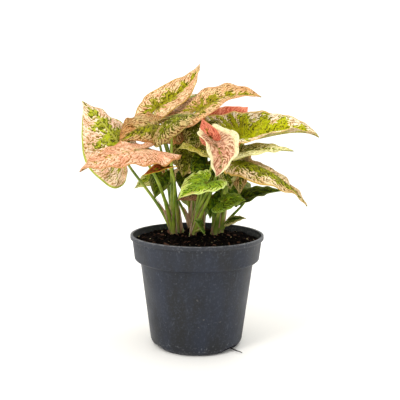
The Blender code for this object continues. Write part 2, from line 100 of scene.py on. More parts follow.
# Half of a flat blade's outline, from the notch at the joint, round the lobe, to the tip. Forward of the
# joint the first number is a share of the midrib, and behind it a share of the lobe. The second is a share
# of half the width.
OUTLINE = (
    (0.0, 0.0), (-0.40, 0.14), (-0.80, 0.34), (-1.0, 0.56), (-0.86, 0.82), (-0.45, 0.97), (0.0, 1.0),
    (0.25, 0.92), (0.48, 0.71), (0.68, 0.44), (0.84, 0.19), (0.93, 0.07), (1.0, 0.0),
)
VEIN_SLANT = 0.26
RIPPLES = 3.2

# Fineness of a blade's mesh, its main veins, half its thickness, and its relief
AROUND = 66
ACROSS = 13
VEINS = 11
HALF_THICKNESS = 0.30
THINNING = 0.16
KEEL = 0.9
KEEL_WIDTH = 0.9
QUILT = 0.7
GROOVE = 0.45
GROOVE_WIDTH = 1.3
UNEVEN = 0.6
FRILL = 1.0
FRILL_WAVES = 8

# Marbling: the fine lines' distance, and how many of them the margin is swept back by
LINE_GAP = 3.3
LINE_SWEEP = 3.0

# The rows that shape the solids, a few of them matched closer to the photograph. Leaves, shoots and colours
# lack the first word of their names. joint, tip: the midrib's ends. face: where the upper side looks. width:
# across both halves. lobe: how far the lobes reach back. fold: degrees that each half rises. curl: degrees
# that it bends on its way out. arch, back: degrees that the midrib bends down to the tip and the lobes
# droop. wave: height of the ripples. hook: above 1, the arch is gathered near the tip. splay: how much wider
# the lobes stand. sway: sideways bow of the midrib. bow: how far the stalk is bent aside. arrive: degrees
# between its end and the blade's normal. seat: the room between that end and the blade.
Leaf = namedtuple(
    "Leaf",
    "shoot colour joint tip face width lobe fold curl arch back wave hook splay sway bow arrive seat",
    defaults=((5, 5), (-20, -20), 15, 15, 0, 1, 0, 0, (0, 0, 0), 45, 0.6),
)
FarLeaf = partial(Leaf, fold=(8, 8), curl=(-25, -25), arch=35, wave=1)
LEAVES = {
    # The leaves of the outline
    "top": Leaf(
        "left_back", "marbled", (-37, 34, 213), (2, 56, 256), (-0.45, -0.55, 0.7), 37, 33,
        fold=(47, 17), curl=(-28, -42), arch=-8, back=37, wave=1, hook=2.5, splay=-0.3, sway=-8,
    ),
    "crest": Leaf(
        "middle", "marbled", (4, 8, 212), (56, 2, 223), (0, -0.35, 0.93), 62, 45,
        fold=(22, 18), curl=(-22, -28), arch=50, back=-8, wave=1, hook=1.3, splay=0.2,
    ),
    "left": Leaf(
        "left", "marbled", (-66, -12, 179), (-101, -6, 218), (0.35, -0.8, 0.45), 68, 29,
        fold=(-6, -22), curl=(-18, -35), arch=18, back=12, wave=1.5, arrive=35, seat=1.15,
    ),
    "salmon": Leaf(
        "left", "salmon", (-49, -55, 178), (-90, -80, 163), (-0.1, -0.5, 0.85), 60, 30,
        fold=(12, -7), curl=(-20, -15), arch=25, back=10, wave=1.5, seat=0.75,
    ),
    "right": Leaf(
        "right", "marbled", (41, 2, 184), (108, 2, 188), (0.05, -0.42, 0.9), 78, 36,
        fold=(23, 36), curl=(-18, -16), arch=50, back=-18, wave=1.5, hook=3.5, splay=0.35, bow=(0, 4, 0),
        seat=0.2,
    ),
    "pale": Leaf(
        "right_front", "pale", (36, -26, 176), (79, -40, 178), (0.05, -0.28, 0.95), 46, 12, fold=(8, 12)
    ),
    "drooping": Leaf(
        "right_front", "olive", (40, -40, 169), (88, -62, 135), (0.4, -0.42, 0.8), 50, 13,
        fold=(-5, 5), curl=(-35, -40), arch=42, back=10, wave=1,
    ),
    # Between them
    "olive": Leaf(
        "left_back", "olive", (-36, -8, 198), (-67, -23, 180), (-0.3, -0.6, 0.75), 52, 20,
        fold=(-5, 12), curl=(-30, -30), arch=70, back=5, wave=1, hook=1.5,
    ),
    "folded": Leaf(
        "left", "green", (-22, -40, 204), (1, -50, 206), (0, -0.5, 0.9), 31, 24,
        fold=(-5, -40), curl=(-30, -40), arch=20, back=5, splay=0.6, bow=(-3, 3, 0), arrive=20, seat=1.3,
    ),
    "young_red": Leaf(
        "left", "red", (-23, -64, 166), (-42, -78, 160), (-0.1, -0.85, 0.5), 14, 4,
        fold=(30, 12), curl=(30, 20), seat=0.1,
    ),
    "cupped": Leaf(
        "front", "salmon", (14, -56, 182), (14, -66, 158), (-0.2, -0.9, 0.35), 46, 21,
        fold=(22, 45), curl=(35, 30), arch=65, back=-10, wave=2, hook=2.2, splay=-0.68, sway=6,
        bow=(4, 0, -8), arrive=10,
    ),
    "coral": Leaf(
        "middle", "red", (23, 42, 191), (48, 48, 215), (-0.1, -0.9, 0.4), 50, 22,
        fold=(12, 10), curl=(-20, -30), arch=20, back=10,
    ),
    "yellow": Leaf("front", "pale", (3, -14, 177), (-16, -32, 179), (0, -0.5, 0.85), 30, 8),
    "mottled": Leaf("middle", "olive", (-2, 7, 177), (-16, 2, 196), (-0.1, -0.9, 0.3), 38, 14),
    "hanging": Leaf(
        "right", "olive", (35, -4, 169), (37, -14, 137), (0.2, -0.9, 0.35), 28, 7,
        curl=(-30, -30), arch=20, back=10, seat=0.4,
    ),
    # Low down
    "low_bright": Leaf(
        "front", "green", (7, -54, 152), (-15, -70, 141), (-0.1, -0.55, 0.8), 33, 13,
        fold=(16, 12), curl=(-12, -22), arch=28, back=-20, bow=(0, 6, 8),
    ),
    "low_dark": Leaf(
        "right", "dark", (44, -2, 133), (75, -6, 141), (0, -0.45, 0.88), 34, 10,
        fold=(8, 28), curl=(-20, -10),
    ),
    "low_right": Leaf("right_front", "green", (23, -36, 135), (40, -44, 137), (0, -0.5, 0.85), 28, 10),
    "tiny_right": Leaf("right_front", "dark", (29, -8, 114), (43, -14, 117), (0, -0.4, 0.9), 16, 5),
    "tiny_front": Leaf("front", "dark", (5, -22, 111), (-3, -30, 118), (0, -0.7, 0.7), 14, 4),
    "small_left": Leaf("left_back", "pale", (-42, 22, 150), (-59, 24, 138), (-0.2, -0.6, 0.75), 20, 8),
    "small_front": Leaf("left_back", "dark", (-27, 0, 150), (-40, -10, 142), (-0.2, -0.6, 0.75), 18, 5),
    "small_pink": Leaf("front", "salmon", (-6, 7, 135), (-18, -4, 131), (-0.1, -0.6, 0.8), 20, 7),
    "inner_left": Leaf("middle", "dark", (-8, 6, 153), (-12, -5, 136), (-0.2, -0.85, 0.45), 24, 6, arch=30),
    "inner_right": Leaf("right", "dark", (28, 22, 147), (40, 25, 124), (0.2, -0.8, 0.5), 34, 11, arch=25),
    # The far side
    "back_top": FarLeaf(
        "middle", "green", (-2, 56, 219), (16, 98, 227), (0.1, 0.2, 0.97), 48, 14,
        fold=(10, 10), arch=40, bow=(-2, -8, 0), arrive=0, seat=1.1,
    ),
    "back_high": FarLeaf(
        "back", "marbled", (-9, 70, 200), (-22, 118, 203), (0, 0.3, 0.95), 62, 22, arch=45, bow=(3, 0, 0)
    ),
    "back_left": FarLeaf(
        "back", "green", (-46, 50, 172), (-91, 76, 173), (-0.25, 0.35, 0.9), 60, 22, arch=40
    ),
    "back_mid": FarLeaf("left_back", "marbled", (-35, 54, 186), (-65, 98, 180), (-0.3, 0.4, 0.85), 54, 20),
    "back_right": FarLeaf(
        "right", "marbled", (42, 68, 186), (85, 84, 192), (0.15, 0.35, 0.9), 58, 22, bow=(4, -8, 4)
    ),
    "back_low_right": FarLeaf("back", "green", (18, 68, 156), (32, 106, 130), (0.1, 0.5, 0.85), 52, 18),
    "back_low_left": FarLeaf("back", "salmon", (-16, 62, 152), (-33, 98, 130), (-0.2, 0.5, 0.8), 48, 18),
    "back_small": FarLeaf("right", "dark", (37, 52, 147), (51, 74, 125), (0.5, 0.2, 0.8), 34, 12, arch=30),
    "back_base": FarLeaf("back", "dark", (0, 60, 125), (7, 86, 98), (0.05, 0.55, 0.8), 36, 9),
}

# Small leaves between the stalks, which are only here. All but the red one fill the gaps with painted shade.
INNER_LEAVES = {
    "inner_upper": Leaf("middle", "olive", (3, -8, 197), (-8, -19, 174), (-0.1, -0.8, 0.6), 34, 12),
    "inner_front": Leaf("front", "dark", (9, -20, 166), (2, -34, 141), (-0.1, -0.85, 0.5), 30, 10),
    "inner_speckled": Leaf("right_front", "olive", (24, -26, 166), (28, -33, 144), (0.1, -0.9, 0.4), 24, 8),
    "inner_low": Leaf("right_front", "dark", (13, -12, 136), (11, -22, 117), (0, -0.85, 0.5), 17, 6),
    "inner_mid": Leaf("middle", "olive", (-7, -2, 178), (-13, -12, 152), (-0.1, -0.85, 0.5), 36, 12),
    "inner_red": Leaf(
        "front", "red", (10, -57, 189), (3, -60, 204), (-0.3, -0.9, 0.1), 17, 5, fold=(20, 20)
    ),
    "inner_dark": Leaf("left", "dark", (-31, -8, 154), (-37, -18, 134), (-0.1, -0.85, 0.5), 22, 7),
}

# How each blade is coloured, in sRGB. green: the patch along the midrib. pink, cream: the ground's tones.
# line: the fine lines. edge: the margin. reach: how far out the green goes, as a share of the half width.
# teeth: how much further it goes along the veins. blush: the share of pink. lines: their strength. flecks:
# how many cream flecks lie in the green. band: the margin's width, as a share. lean: how much further the
# green goes in the left half.
LOOK_FIELDS = "green pink cream line edge reach teeth blush lines flecks band lean"
Look = namedtuple("Look", LOOK_FIELDS, defaults=(0.05, 0))
# Painted shade: dark tones for leaves deep in the plant, with dull greens in place of pink and cream
ShadedLook = partial(Look, reach=1.0, teeth=0.2, blush=0.2, lines=0.5, flecks=0.3, band=0.03)
LIME = (156, 164, 34)
TAN = (206, 166, 118)
STRAW = (222, 208, 142)
MOSS = (104, 86, 6)
BROWN = (116, 66, 14)
LOOKS = {
    "top": Look(
        (160, 152, 38), (228, 174, 138), (244, 212, 168), (136, 104, 40), (196, 158, 82),
        0.42, 0.9, 0.55, 0.9, 0.1, lean=0.1,
    ),
    "crest": Look(
        (146, 130, 26), (222, 170, 122), (238, 200, 152), (122, 86, 26), (218, 166, 118),
        0.5, 0.8, 0.6, 0.95, 0.1, 0.04, -0.1,
    ),
    "left": Look(
        (168, 172, 52), (240, 196, 168), (250, 226, 200), (146, 120, 48), (172, 182, 78),
        0.5, 1.0, 0.55, 0.95, 0.2, 0.04,
    ),
    "salmon": Look(
        (188, 150, 90), (226, 164, 132), (240, 198, 164), (146, 100, 50), (200, 148, 94),
        0.0, 0.3, 0.6, 0.95, 0, 0.04,
    ),
    "right": Look(
        (186, 184, 22), (242, 200, 162), (252, 238, 210), (142, 114, 30), (220, 186, 110),
        0.75, 1.2, 0.5, 0.95, 0.05, 0.04, 0.12,
    ),
    "pale": Look(
        (156, 160, 64), (222, 212, 142), (246, 240, 184), (122, 114, 42), (228, 220, 146),
        0.2, 0.5, 0.35, 0.9, 0.2, 0.06,
    ),
    "drooping": Look(
        (122, 122, 26), (208, 172, 120), (236, 212, 172), (108, 84, 24), (198, 164, 90),
        0.3, 0.6, 0.6, 0.95, 0.2, lean=-0.4,
    ),
    "olive": Look(
        (120, 110, 34), (184, 134, 84), (204, 176, 122), (94, 62, 18), (184, 130, 80),
        0.4, 0.5, 0.6, 0.95, 0.3, 0.04, 0.3,
    ),
    "folded": Look(
        (92, 94, 36), (176, 136, 92), (206, 186, 130), (84, 64, 24), (190, 172, 104),
        0.6, 0.6, 0.6, 0.9, 0.9, 0.06,
    ),
    "young_red": Look(
        (120, 110, 30), (150, 76, 44), (186, 112, 60), (76, 34, 16), (206, 176, 60),
        0.3, 0.6, 0.5, 0.9, 0.2, 0.14,
    ),
    "cupped": Look(
        (160, 150, 84), (218, 166, 142), (238, 206, 174), (146, 100, 66), (240, 230, 186),
        0.0, 0.2, 0.6, 0.9, 0.6, 0.28,
    ),
    "coral": Look(
        (206, 120, 84), (248, 146, 120), (255, 176, 144), (190, 88, 60), (246, 184, 148),
        0, 0.2, 0.7, 0.7, 0, 0.04,
    ),
    "yellow": Look(
        (196, 186, 52), (238, 218, 112), (248, 238, 144), (134, 116, 30), (236, 222, 136),
        0.35, 0.5, 0.4, 0.8, 0.2, 0.08,
    ),
    "mottled": Look(
        (128, 118, 40), (190, 160, 96), (214, 198, 124), (90, 72, 16), (176, 162, 92),
        0.5, 0.6, 0.5, 0.9, 0.8,
    ),
    "hanging": Look(
        (74, 86, 32), (186, 148, 100), (202, 184, 128), (72, 68, 24), (192, 160, 112),
        0.4, 0.6, 0.6, 0.9, 0.9, lean=0.2,
    ),
    "low_bright": Look(
        (126, 158, 54), (190, 158, 106), (206, 222, 120), (92, 122, 36), (206, 220, 140),
        0.85, 0.3, 0.3, 0.5, 0.2, 0.07,
    ),
    # Painted shade: this leaf lies low under the others and has dark tones
    "low_dark": ShadedLook((42, 62, 18), (96, 112, 46), (120, 136, 60), (34, 52, 14), (126, 140, 70)),
    "low_right": Look(
        (104, 132, 44), (140, 156, 84), (158, 180, 90), (70, 96, 24), (140, 166, 74),
        0.9, 0.3, 0.2, 0.7, 0.2, 0.03,
    ),
    "tiny_right": Look(
        (52, 82, 26), STRAW, (216, 206, 150), (60, 80, 28), (206, 198, 140), 0.7, 0.2, 0.2, 0.6, 0.3, 0.12
    ),
    "tiny_front": Look(
        (54, 88, 26), (140, 156, 72), (160, 176, 96), (46, 76, 22), (140, 164, 80), 0.9, 0.2, 0.2, 0.6, 0.3
    ),
    "small_left": Look(
        (146, 168, 62), STRAW, (216, 214, 146), (116, 138, 50), (176, 192, 96), 0.6, 0.4, 0.2, 0.6, 0.4
    ),
    "small_front": Look(
        (56, 84, 26), (186, 140, 104), (196, 176, 122), (58, 74, 26), (116, 130, 56), 0.6, 0.5, 0.5, 0.7, 0.4
    ),
    "small_pink": Look(
        (110, 114, 44), (202, 146, 116), (212, 176, 138), (116, 80, 50), (170, 130, 90),
        0.1, 0.4, 0.7, 0.8, 0.2,
    ),
    "inner_left": ShadedLook(
        (44, 66, 20), (96, 108, 50), (116, 130, 66), (30, 50, 14), (56, 84, 28), flecks=0.2
    ),
    "inner_right": ShadedLook((48, 74, 24), (96, 108, 50), (116, 130, 66), (34, 56, 16), (60, 88, 30)),
    "inner_upper": Look(
        (84, 88, 26), (166, 136, 80), (196, 186, 120), (52, 46, 10), (150, 136, 74), 0.7, 0.6, 0.5, 1.0, 1.0
    ),
    "inner_front": ShadedLook((40, 60, 18), (96, 108, 50), (120, 132, 66), (28, 46, 12), (60, 84, 28)),
    "inner_speckled": Look(
        (66, 80, 30), (166, 136, 92), (186, 184, 126), (56, 58, 20), (142, 132, 78),
        0.8, 0.6, 0.5, 0.8, 1.0, 0.04,
    ),
    "inner_low": ShadedLook((50, 78, 24), (96, 108, 50), (120, 136, 70), (36, 58, 16), (70, 96, 34)),
    "inner_mid": Look(
        (92, 96, 28), (158, 128, 76), (190, 180, 108), (66, 60, 14), (150, 140, 76), 0.7, 0.6, 0.5, 0.9, 0.8
    ),
    "inner_red": Look(
        (160, 92, 66), (218, 126, 106), (234, 154, 126), (156, 76, 58), (222, 150, 110),
        0.1, 0.3, 0.6, 0.7, 0, 0.06,
    ),
    "inner_dark": ShadedLook(
        (46, 72, 22), (110, 112, 56), (126, 134, 70), (34, 54, 16), (66, 90, 32), reach=0.9, flecks=0.4
    ),
    "back_top": Look(
        (112, 140, 44), (248, 206, 178), (250, 228, 192), MOSS, (140, 150, 40), 0.6, 0.8, 0.5, 1.0, 0.2
    ),
    "back_high": Look(LIME, (250, 208, 182), (252, 230, 198), MOSS, (140, 150, 40), 0.5, 0.9, 0.5, 1.0, 0.2),
    "back_left": Look((120, 146, 46), TAN, STRAW, MOSS, (158, 158, 70), 0.6, 0.7, 0.5, 0.9, 0.4),
    "back_mid": Look(
        (138, 122, 26), (236, 186, 142), (244, 214, 166), BROWN, (196, 156, 96), 0.42, 0.8, 0.6, 0.95, 0.3
    ),
    "back_right": Look(
        LIME, (244, 206, 172), (250, 236, 204), MOSS, (166, 158, 70), 0.55, 0.9, 0.5, 0.9, 0.2
    ),
    "back_low_right": Look((98, 126, 40), TAN, STRAW, MOSS, (150, 156, 66), 0.75, 0.6, 0.4, 0.8, 0.5),
    "back_low_left": Look(
        (146, 136, 60), (240, 190, 146), (240, 200, 154), BROWN, (196, 150, 96),
        0.15, 0.5, 0.6, 0.9, 0.1, 0.04,
    ),
    "back_small": Look(
        (58, 88, 28), (144, 154, 76), (166, 178, 96), (44, 70, 22), (126, 142, 62),
        0.9, 0.3, 0.3, 0.6, 0.4, 0.04,
    ),
    "back_base": Look(
        (54, 84, 28), (136, 144, 72), (156, 168, 90), (42, 68, 22), (116, 134, 58),
        0.9, 0.3, 0.3, 0.6, 0.4, 0.04,
    ),
}
DEEP_GREEN = (44, 40, 0)
BRIGHT_GREEN = (200, 214, 20)
UNDERSIDE = (138, 142, 84)
STALK_SPOT = (92, 72, 24)

# Camera, fitted to the ellipses of the pot's lip and base. Angles in degrees.
CAMERA_DISTANCE = 550.0
CAMERA_HEIGHT = 205.0
CAMERA_PITCH = 7.5
CAMERA_ROLL = -0.47
CAMERA_LENS = 55.7
CAMERA_SHIFT = (0.005, -0.0045)

# Light: the sky's strength at low and high directions, and the height that the lamps point at
SKY = {"From Min": 0.3, "From Max": 0.75, "To Min": 1.02, "To Max": 0.95}
LAMP_AIM = 0.13


def unit(vector):
    return np.asarray(vector, float) / np.linalg.norm(vector)


def smooth_curve(points, samples):
    """Points spread evenly along a smooth curve through the given ones."""
    given = np.asarray(points, float)
    ends = np.vstack([2 * given[0] - given[1], given, 2 * given[-1] - given[-2]])
    t = np.linspace(0, 1, 16, endpoint=False)[:, None]
    fine = []
    for i in range(len(given) - 1):
        a, b, c, d = ends[i : i + 4]
        square = 2 * a - 5 * b + 4 * c - d
        cube = 3 * b - a - 3 * c + d
        fine.append(b + 0.5 * ((c - a) * t + square * t**2 + cube * t**3))
    fine = np.vstack([*fine, given[-1:]])
    run = np.concatenate([[0], np.cumsum(np.linalg.norm(np.diff(fine, axis=0), axis=1))])
    at = np.linspace(0, run[-1], samples)
    return np.stack([np.interp(at, run, fine[:, k]) for k in range(given.shape[1])], axis=1)


def walk(angles, step):
    """Where a line from the origin gets to that takes a step at the middle of each two angles."""
    middle = (angles[1:] + angles[:-1]) / 2
    moves = np.stack([np.cos(middle), np.sin(middle)], axis=1) * step
    return np.vstack([[0, 0], np.cumsum(moves, axis=0)])


# A midrib in side view: each point's distance from the joint, negative in the lobes, its place in the plane
# of the directions ahead and up, and its tangent's angle there. length runs from the joint to the tip.
Midrib = namedtuple("Midrib", "distance along height angle length ahead up")


def make_midrib(leaf):
    chord = np.subtract(leaf.tip, leaf.joint)
    ahead = unit(chord)
    up = unit(leaf.face - np.dot(leaf.face, ahead) * ahead)
    share = np.linspace(0, 1, 61)
    front_angle = -radians(leaf.arch) * share**leaf.hook
    front = walk(front_angle, 1 / 60)
    length = np.linalg.norm(chord) / np.linalg.norm(front[-1])
    share_back = np.linspace(0, 1, 31)
    back_angle = radians(leaf.back) * share_back
    back = -walk(back_angle, leaf.lobe / 30)
    tilt = -atan2(front[-1, 1], front[-1, 0])
    path = np.vstack([back[:0:-1], front * length])
    along = path[:, 0] * cos(tilt) - path[:, 1] * sin(tilt)
    height = path[:, 0] * sin(tilt) + path[:, 1] * cos(tilt)
    distance = np.concatenate([-leaf.lobe * share_back[:0:-1], length * share])
    angle = np.concatenate([back_angle[:0:-1], front_angle]) + tilt
    return Midrib(distance, along, height, angle, length, ahead, up)


def half_blade(leaf, rib, side, phase):
    """Points of the left (side 0) or right half from the joint, in rows along the veins, and their flat
    places, ahead and out."""
    outline = smooth_curve(OUTLINE, AROUND)
    half_width = leaf.width / 2
    forward = outline[:, 0] > 0
    end_x = outline[:, 0] * np.where(forward, rib.length, leaf.lobe)
    spread = leaf.splay * np.clip(-outline[:, 0], 0, 1) * np.clip(2 * outline[:, 1], 0, 1)
    end_y = (outline[:, 1] + spread) * half_width
    share = np.clip(outline[:, 0], 0, 1)
    start_x = rib.length * np.clip(share - VEIN_SLANT * outline[:, 1] * np.clip(6 * share, 0, 1), 0, 1)
    start_x[: np.argmax(outline[:, 1])] = 0
    start_x[-1] = rib.length
    start_x = np.maximum.accumulate(start_x)[:, None]
    t = np.linspace(0, 1, ACROSS)[None, :]
    flat_x = start_x + (end_x[:, None] - start_x) * t
    flat_y = end_y[:, None] * t

    # Across the midrib the section is an arc that leaves it at the fold angle
    fold = radians(leaf.fold[side])
    bend = radians(leaf.curl[side]) / half_width
    out = (np.sin(fold + bend * flat_y) - sin(fold)) / bend
    rise = (cos(fold) - np.cos(fold + bend * flat_y)) / bend
    run = np.linspace(0, 1, AROUND)[:, None]
    ripple = np.sin(2 * pi * RIPPLES * run + phase + 2.4 * side)
    rise = rise + leaf.wave * t**2 * ripple * np.sqrt(np.sin(pi * run).clip(0))
    share_x = np.clip(flat_x / rib.length, 0, 1)
    out = (out if side == 0 else -out) + leaf.sway * 4 * share_x * (1 - share_x)

    angle = np.interp(flat_x, rib.distance, rib.angle)
    along = np.interp(flat_x, rib.distance, rib.along) - rise * np.sin(angle)
    height = np.interp(flat_x, rib.distance, rib.height) + rise * np.cos(angle)
    sideways = np.cross(rib.up, rib.ahead)
    points = along[..., None] * rib.ahead + height[..., None] * rib.up + out[..., None] * sideways
    return points, flat_x, flat_y


def srgb(colour):
    """A colour given as 0 to 255 in sRGB, as Blender's linear light."""
    share = np.array(colour) / 255
    linear = np.where(share <= 0.04045, share / 12.92, ((share + 0.055) / 1.055) ** 2.4)
    return (*linear.tolist(), 1.0)


def tone_of(first, second, share):
    """A colour between two, both as 0 to 255 in sRGB."""
    return tuple(int(a + (b - a) * share) for a, b in zip(first, second))


class Web:
    """A material or a world, and short calls that add nodes to it."""

    def __init__(self, name, kind="materials", shader="Principled BSDF"):
        self.owner = getattr(bpy.data, kind).new(name)
        self.owner.use_nodes = True
        self.tree = self.owner.node_tree
        self.shader = self.tree.nodes[shader]

    def put(self, socket, value):
        if isinstance(value, bpy.types.NodeSocket):
            self.tree.links.new(value, socket)
        else:
            socket.default_value = value

    def node(self, kind, values=(), **settings):
        made = self.tree.nodes.new("ShaderNode" + kind)
        for key, setting in settings.items():
            setattr(made, key, setting)
        for socket, value in dict(values).items():
            self.put(made.inputs[socket], value)
        return made

    def math(self, operation, *values):
        return self.node("Math", enumerate(values), operation=operation).outputs[0]

    def plus(self, a, b):
        return self.math("ADD", a, b)

    def times(self, a, b):
        return self.math("MULTIPLY", a, b)

    def swing(self, value, middle, gain):
        """How far the value is from its middle, times the gain."""
        return self.times(self.math("SUBTRACT", value, middle), gain)

    def ease(self, value, low, high, start=0.0, end=1.0):
        """Goes smoothly from start to end as the value goes from low to high."""
        values = {"Value": value, "From Min": low, "From Max": high, "To Min": start, "To Max": end}
        return self.node("MapRange", values, interpolation_type="SMOOTHSTEP").outputs["Result"]

    def blend(self, factor, a, b):
        a, b = (srgb(colour) if isinstance(colour, tuple) else colour for colour in (a, b))
        return self.node("Mix", {0: factor, 6: a, 7: b}, data_type="RGBA").outputs[2]

    def noise(self, vector, scale, detail=2.0, roughness=0.5, distortion=0.0):
        values = {"Vector": vector, "Scale": scale, "Detail": detail, "Roughness": roughness}
        return self.node("TexNoise", values | {"Distortion": distortion}).outputs["Fac"]

    def vector(self, x, y, z):
        return self.node("CombineXYZ", {0: x, 1: y, 2: z}).outputs[0]

    def split(self, vector):
        return self.node("SeparateXYZ", {0: vector}).outputs

    def uv(self, name):
        return self.node("UVMap", uv_map=name).outputs[0]

    def attribute(self, name):
        return self.node("Attribute", attribute_name=name).outputs["Fac"]

    def place(self):
        """Where the surface is, in metres of the frame."""
        return self.node("TexCoord").outputs["Object"]

    def height(self):
        return self.split(self.place())[2]

    def stretched(self, wide, tall):
        """The place, scaled by wide across and by tall in height."""
        scale = {0: self.place(), 1: (wide, wide, tall)}
        return self.node("VectorMath", scale, operation="MULTIPLY").outputs[0]

    def bump(self, height, strength, distance):
        made = self.node("Bump", {"Strength": strength, "Distance": distance, "Height": height})
        self.put(self.shader.inputs["Normal"], made.outputs[0])

    def finish(self, colour, roughness, **values):
        for name, value in {"Base_Color": colour, "Roughness": roughness, **values}.items():
            self.put(self.shader.inputs[name.replace("_", " ")], value)
        return self.owner


def marbling(web, leaf, here, bent, out):
    """The fine lines, and how near one is: from 0 half way between two to 0.5 on one."""
    span = dist(leaf.joint, leaf.tip) + leaf.lobe + leaf.width / 2
    wiggle = web.times(web.noise(here, 2.4, 2, 0.6), 2.6)
    sweep_back = web.times(web.times(out, out), -LINE_SWEEP)
    count = web.plus(web.times(bent, span / LINE_GAP), web.plus(wiggle, sweep_back))
    ridge = web.math("PINGPONG", count, 0.5)
    broken = web.ease(web.noise(here, 2.4, 2), 0.4, 0.5, 0.2, 1.0)
    lines = web.times(web.ease(ridge, 0.25, 0.4), broken)

    # A loose net lies where another noise crosses its middle
    off = web.math("ABSOLUTE", web.math("SUBTRACT", web.noise(here, 2.4, 2, 0.6, 1.0), 0.5))
    return web.math("MAXIMUM", lines, web.ease(off, 0.006, 0.03, 0.8, 0.0)), ridge


def green_share(web, look, around, out, y, comb, middle, ridge):
    """The share of green, which runs out in teeth along the main veins and frays at the fine lines."""
    reach = web.ease(around, 0.6, 1.0, look.reach, 0.55 * look.reach)
    if look.lean:
        reach = web.plus(reach, web.times(web.math("SIGN", y), look.lean))
    for value, centre, gain in ((comb, 0.45, look.teeth * 0.5), (middle, 0.5, 0.9), (ridge, 0.25, 0.6)):
        reach = web.plus(reach, web.swing(value, centre, gain))
    return web.ease(web.math("SUBTRACT", reach, out), -0.08, 0.1)


def ground_colour(web, look, here, lines, ridge):
    """Pale in the middle of the fields between the lines, and pinker round them and in patches."""
    tone = web.plus(web.noise(here, 0.9, 2), web.swing(ridge, 0.22, 0.7))
    rosy = web.ease(tone, 0.6 - 0.35 * look.blush, 0.76 - 0.3 * look.blush)
    return web.blend(web.times(lines, look.lines), web.blend(rosy, look.cream, look.pink), look.line)


def green_colour(web, look, middle, fine, lines):
    """Green with brighter clouds, deeper lines and cream flecks."""
    green = web.blend(web.ease(middle, 0.4, 0.6), look.green, tone_of(look.green, BRIGHT_GREEN, 0.4))
    green = web.blend(web.times(lines, 0.9), green, tone_of(look.green, DEEP_GREEN, 0.8))
    return web.blend(web.times(web.ease(fine, 0.57, 0.64), look.flecks), green, look.cream)


def leaf_material(name, leaf, look, number):
    """A marbled ground, a green patch along the midrib, the main veins, a margin and an underside."""
    web = Web(name)

    # Shares round and out, and the place on the flat blade in centimetres
    around, out, _ = web.split(web.uv("vein"))
    x, y, _ = web.split(web.uv("flat"))
    here = web.vector(x, y, 3.7 * number)
    middle = web.noise(here, 2.6, 3, 0.55, 0.4)
    fine = web.noise(here, 8.5, 3, 0.6, 0.3)
    bent = web.plus(around, web.swing(middle, 0.5, 0.05))
    comb = web.times(web.math("PINGPONG", web.plus(web.times(bent, VEINS), 0.5), 0.5), 2.0)
    lines, ridge = marbling(web, leaf, here, bent, out)
    share = green_share(web, look, around, out, y, comb, middle, ridge)
    ground = ground_colour(web, look, here, lines, ridge)
    colour = web.blend(share, ground, green_colour(web, look, middle, fine, lines))

    # Main veins and the midrib
    pale = tone_of(look.green, look.cream, 0.3)
    vein = web.times(web.ease(comb, 0.9, 0.98), web.ease(out, 0.9, 0.5, 0, 0.45))
    colour = web.blend(vein, colour, pale)
    colour = web.blend(web.ease(out, 0.05, 0.02, 0, 0.8), colour, pale)

    # The margin
    ragged = web.plus(out, web.swing(fine, 0.5, 0.8 * look.band))
    margin = web.ease(ragged, 0.97 - look.band, 1.0 - look.band * 0.6)
    specks = web.times(web.ease(fine, 0.55, 0.62), look.flecks)
    colour = web.blend(margin, colour, web.blend(specks, look.edge, look.green))

    # The brown spot where the stalk joins
    from_joint = web.math("SQRT", web.plus(web.times(x, x), web.times(y, y)))
    colour = web.blend(web.ease(from_joint, 0.28, 0.1, 0, 0.7), colour, STALK_SPOT)

    # The underside is greyer, and the pattern shows through
    dull = web.blend(0.45, colour, tone_of(UNDERSIDE, look.pink, 0.5))
    colour = web.blend(web.attribute("under"), colour, dull)
    web.bump(web.plus(web.times(lines, -0.5), web.times(fine, 0.6)), 0.4, 0.0006)
    return web.finish(
        colour, web.ease(fine, 0.3, 0.7, 0.46, 0.6), Specular_IOR_Level=0.06,
        Subsurface_Weight=0.06, Subsurface_Scale=0.002, Subsurface_Radius=(1.0, 0.5, 0.2),
    )


def sines(x, y, seed, count=5, low=0.12, high=0.5):
    """A smooth uneven height, about -1 to 1, from waves of low to high radians per millimetre."""
    draw = np.random.default_rng(seed)
    total = np.zeros_like(x)
    for _ in range(count):
        turn, phase = draw.uniform(0, 2 * pi, 2)
        wave = draw.uniform(low, high)
        total += np.sin(wave * (x * cos(turn) + y * sin(turn)) + phase)
    return total / count**0.5


def blade_relief(leaf, u, t, x, y, seed):
    """How far the blade's surface stands off its smooth form: veins sunk, the fields between them raised."""
    scale = min(1.0, leaf.width / 45)
    field = np.abs(np.sin(pi * (VEINS * u + 0.5)))
    quilt = QUILT * (field**0.6 - 0.6) * np.clip(4 * t * (1.05 - t), 0, 1)
    groove = GROOVE * np.exp(-((t * leaf.width / 2 / GROOVE_WIDTH) ** 2))
    uneven = UNEVEN * sines(x, y, seed) * np.clip(3 * t, 0, 1)
    waves = np.sin(2 * pi * FRILL_WAVES * u + seed) * np.sin(pi * u).clip(0) ** 0.5
    return scale * (quilt - groove + uneven + FRILL * t**4 * waves)


def vertex_normals(points, quads):
    """The mean direction of the faces round each point."""
    a, b, c, d = (points[quads[:, k]] for k in range(4))
    across = np.cross(c - a, d - b)
    total = np.zeros_like(points)
    for k in range(4):
        np.add.at(total, quads[:, k], across)
    return total / np.linalg.norm(total, axis=1)[:, None].clip(1e-12)


